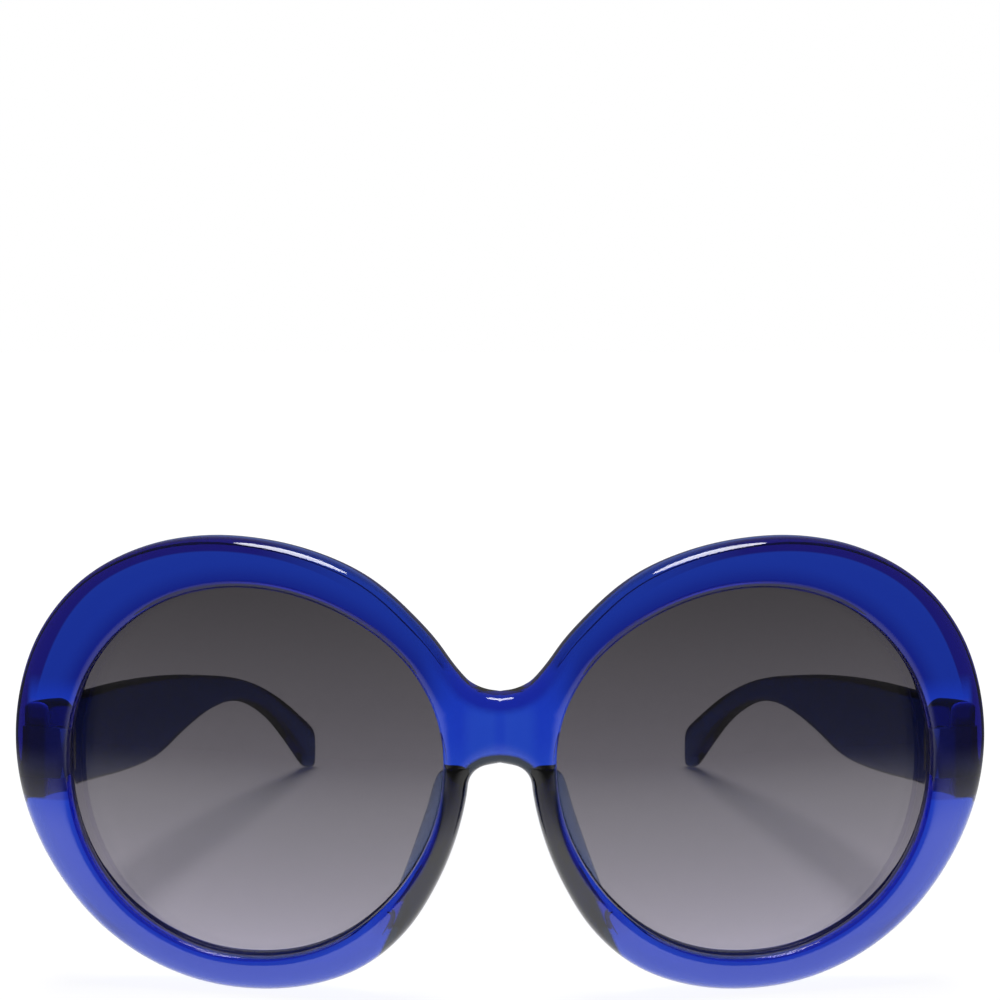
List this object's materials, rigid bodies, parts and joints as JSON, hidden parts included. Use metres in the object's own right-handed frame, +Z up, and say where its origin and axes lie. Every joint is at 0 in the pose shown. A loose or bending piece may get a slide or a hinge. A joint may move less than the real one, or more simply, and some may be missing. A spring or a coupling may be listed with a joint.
{
  "type": "oversized sunglasses",
  "caption": "Oversized round sunglasses with thick wrapped translucent rims, moulded nose pads, curved smoke lenses and wide folding temples.",
  "frame": {"origin": "on the table, below the middle of the open glasses' bounding box", "axes": "front faces -Y, temples run to +Y, +X is the wearer's left, +Z up"},
  "size_m": [0.158, 0.1406, 0.072],
  "materials": {
    "blue_plastic": "glossy translucent cobalt blue",
    "smoke_lens": "glossy grey, darker at the top",
    "hinge_steel": "satin",
    "screw_steel": "polished"
  },
  "bodies": {
    "front": {"front_frame": "blue_plastic", "lens_left": "smoke_lens", "lens_right": "smoke_lens", "front_hinge_left": "hinge_steel", "front_hinge_right": "hinge_steel", "hinge_screw_left": "screw_steel", "hinge_screw_right": "screw_steel"},
    "temple_left": {"temple_left": "blue_plastic", "temple_hinge_left": "hinge_steel"},
    "temple_right": {"temple_right": "blue_plastic", "temple_hinge_right": "hinge_steel"}
  },
  "joints": [
    {"name": "fold_left", "type": "hinge", "parent": "front", "child": "temple_left", "pos_m": [0.07116, -0.05212, 0.03652], "axis": [0, 0, 1], "range_deg": [0, 77]},
    {"name": "fold_right", "type": "hinge", "parent": "front", "child": "temple_right", "pos_m": [-0.07116, -0.05212, 0.03652], "axis": [0, 0, -1], "range_deg": [0, 72]}
  ]
}
